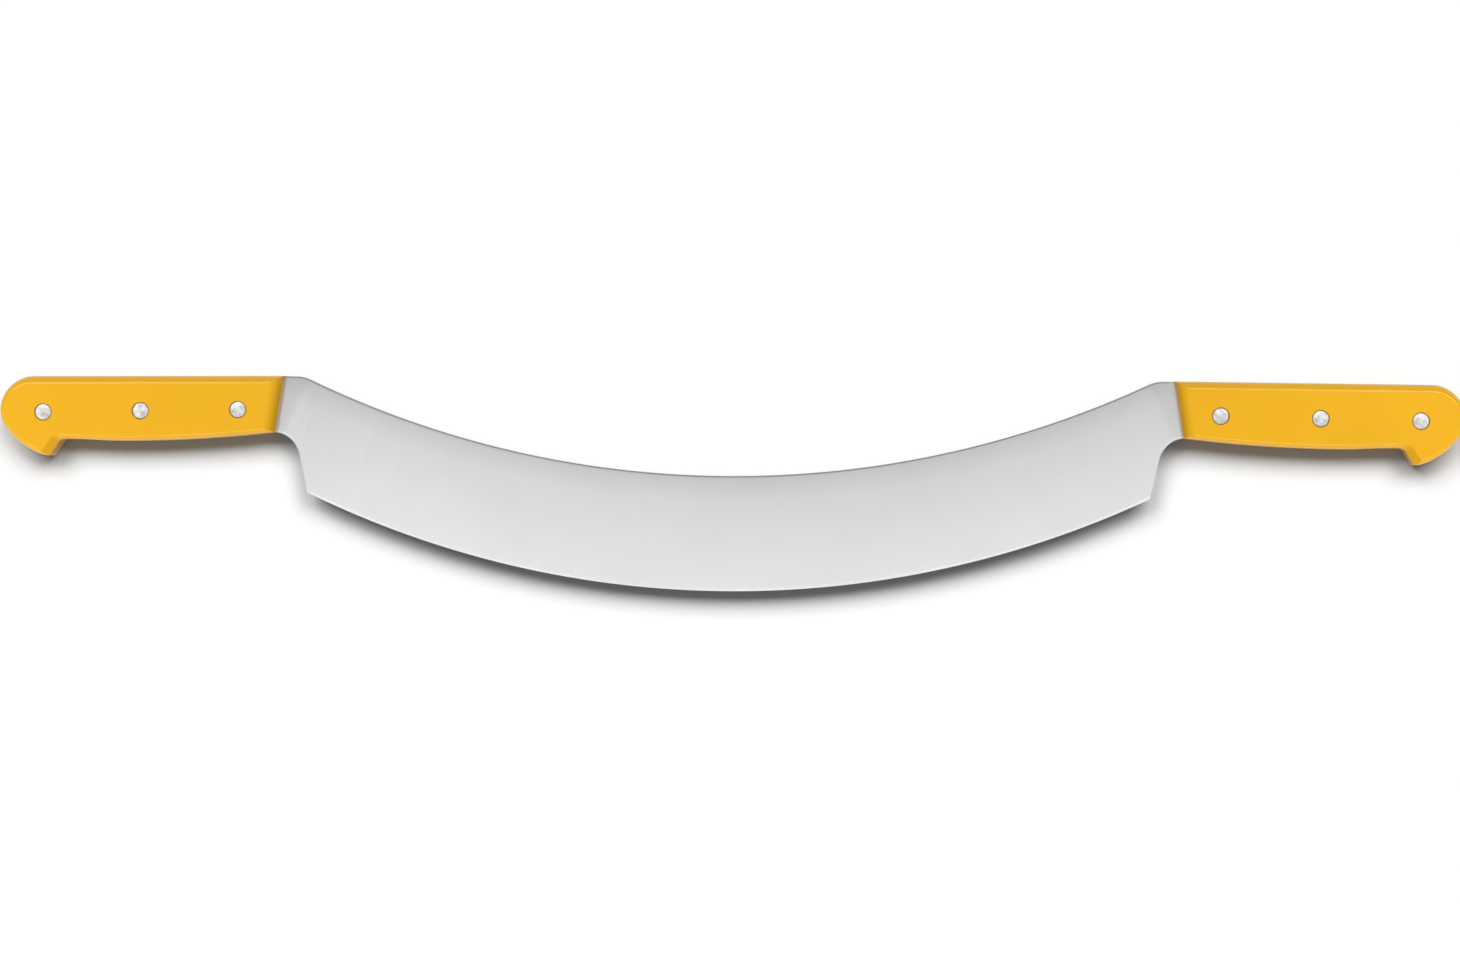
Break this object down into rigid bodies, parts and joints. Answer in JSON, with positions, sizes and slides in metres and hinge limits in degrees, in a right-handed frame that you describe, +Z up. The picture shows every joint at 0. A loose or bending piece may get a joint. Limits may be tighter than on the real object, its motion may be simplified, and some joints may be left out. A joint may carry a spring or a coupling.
{
  "type": "two_handled_cheese_knife",
  "caption": "Two-handled cheese knife: a curved, tapered steel blade with a full tang at each end and hooked plastic scales riveted on, pressed down with both hands to cut large cheeses",
  "frame": {"origin": "centre of the knife's footprint, on the plane that the flat backs of both handles lie on", "axes": "+X along the knife towards the right handle, +Y from the cutting edge towards the spine, +Z up out of the front face"},
  "size_m": [0.6582, 0.0954, 0.019],
  "materials": {
    "blade_steel": "satin stainless steel",
    "handle_plastic": "golden yellow, semi-gloss",
    "rivet_metal": "bare, lightly peened"
  },
  "bodies": {
    "root": {"blade": "blade_steel", "left_front_scale": "handle_plastic", "left_back_scale": "handle_plastic", "right_front_scale": "handle_plastic", "right_back_scale": "handle_plastic", "left_inner_rivet_sleeve": "rivet_metal", "left_inner_rivet_pin": "rivet_metal", "left_middle_rivet_sleeve": "rivet_metal", "left_middle_rivet_pin": "rivet_metal", "left_outer_rivet_sleeve": "rivet_metal", "left_outer_rivet_pin": "rivet_metal", "right_inner_rivet_sleeve": "rivet_metal", "right_inner_rivet_pin": "rivet_metal", "right_middle_rivet_sleeve": "rivet_metal", "right_middle_rivet_pin": "rivet_metal", "right_outer_rivet_sleeve": "rivet_metal", "right_outer_rivet_pin": "rivet_metal"}
  },
  "joints": []
}
